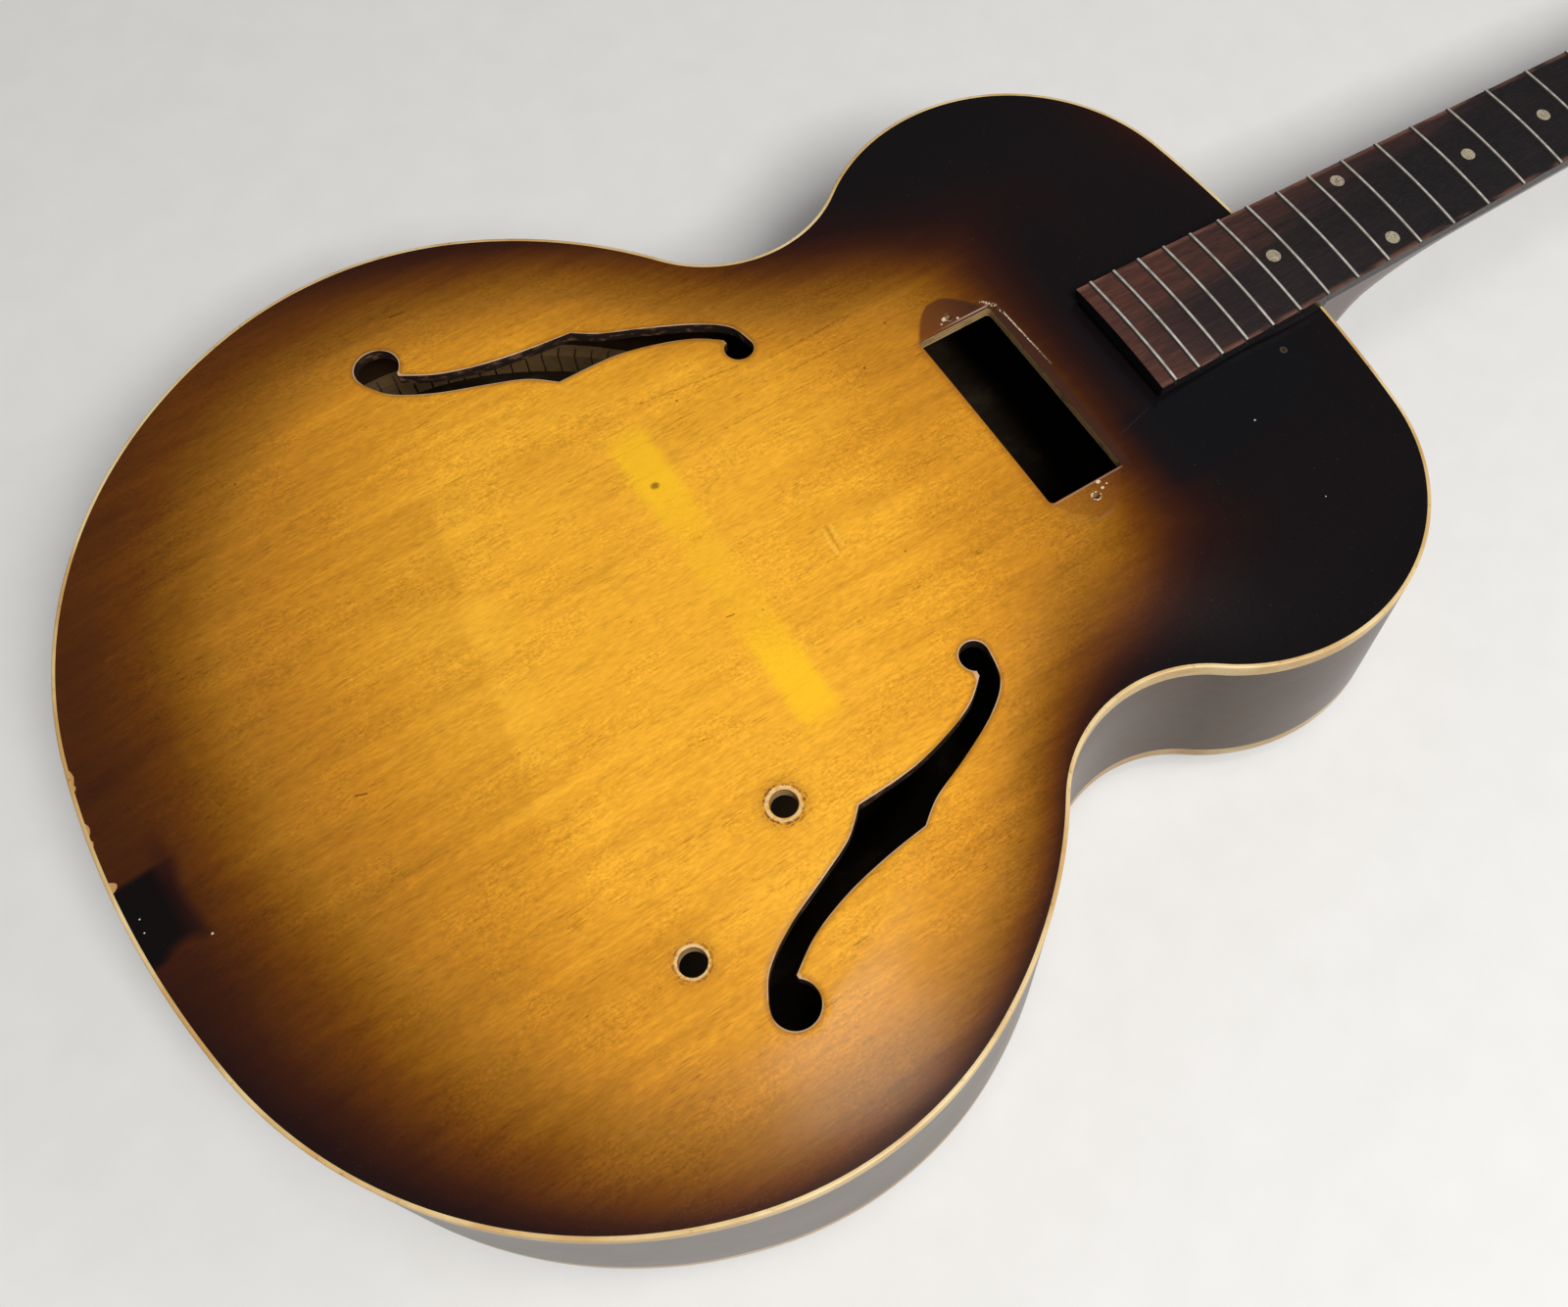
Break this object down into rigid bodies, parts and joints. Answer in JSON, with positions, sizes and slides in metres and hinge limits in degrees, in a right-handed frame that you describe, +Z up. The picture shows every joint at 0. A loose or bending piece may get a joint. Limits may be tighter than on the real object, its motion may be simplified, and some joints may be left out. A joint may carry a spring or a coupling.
{
  "type": "broken guitar",
  "caption": "Hollow archtop guitar stripped to worn wood: sunburst arched top with sound holes, empty pickup rout and control holes, bound rims, neck with fretted board and bare headstock.",
  "frame": {"origin": "middle of the bounding box, on the surface that the guitar's back and headstock tip rest on", "axes": "+X towards the headstock, +Y towards the bass side, +Z up out of the arched top"},
  "size_m": [1.028, 0.4134, 0.1114],
  "materials": {
    "top_lacquer": "aged amber-to-black sunburst lacquer, gloss, scratched",
    "back_lacquer": "aged dark brown lacquer, gloss",
    "rim_lacquer": "aged dark brown lacquer, gloss",
    "block_wood": "bare wood",
    "lining_wood": "bare wood",
    "binding_cream": "aged cream, semi-gloss",
    "neck_lacquer": "aged red-brown lacquer, gloss",
    "black_lacquer": "black lacquer, worn",
    "rod_steel": "dull steel",
    "nut_brass": "tarnished brass",
    "rosewood": "oiled, dry and worn",
    "bone": "aged off-white, satin",
    "pearl": "aged pearl, semi-gloss",
    "fret_metal": "worn nickel silver"
  },
  "bodies": {
    "root": {"top_plate": "top_lacquer", "back_plate": "back_lacquer", "rim_bass": "rim_lacquer", "rim_treble": "rim_lacquer", "head_block": "block_wood", "tail_block": "block_wood", "truss_rod_fillet": "block_wood", "top_lining_bass": "lining_wood", "top_lining_treble": "lining_wood", "back_lining_bass": "lining_wood", "back_lining_treble": "lining_wood", "tone_bar_bass": "lining_wood", "tone_bar_treble": "lining_wood", "top_binding": "binding_cream", "back_binding": "binding_cream", "neck": "neck_lacquer", "headstock_core": "neck_lacquer", "headstock_wing_bass": "neck_lacquer", "headstock_wing_treble": "neck_lacquer", "headstock_veneer": "black_lacquer", "fingerboard_riser": "black_lacquer", "heel_cap": "black_lacquer", "truss_rod": "rod_steel", "truss_rod_washer": "rod_steel", "truss_rod_nut": "nut_brass", "fingerboard": "rosewood", "nut": "bone", "dot_03": "pearl", "dot_05": "pearl", "dot_07": "pearl", "dot_09": "pearl", "dot_12_bass": "pearl", "dot_12_treble": "pearl", "dot_15": "pearl", "side_dots": "pearl", "fret_01": "fret_metal", "fret_02": "fret_metal", "fret_03": "fret_metal", "fret_04": "fret_metal", "fret_05": "fret_metal", "fret_06": "fret_metal", "fret_07": "fret_metal", "fret_08": "fret_metal", "fret_09": "fret_metal", "fret_10": "fret_metal", "fret_11": "fret_metal", "fret_12": "fret_metal", "fret_13": "fret_metal", "fret_14": "fret_metal", "fret_15": "fret_metal", "fret_16": "fret_metal", "fret_17": "fret_metal", "fret_18": "fret_metal", "fret_19": "fret_metal", "fret_20": "fret_metal"}
  },
  "joints": []
}
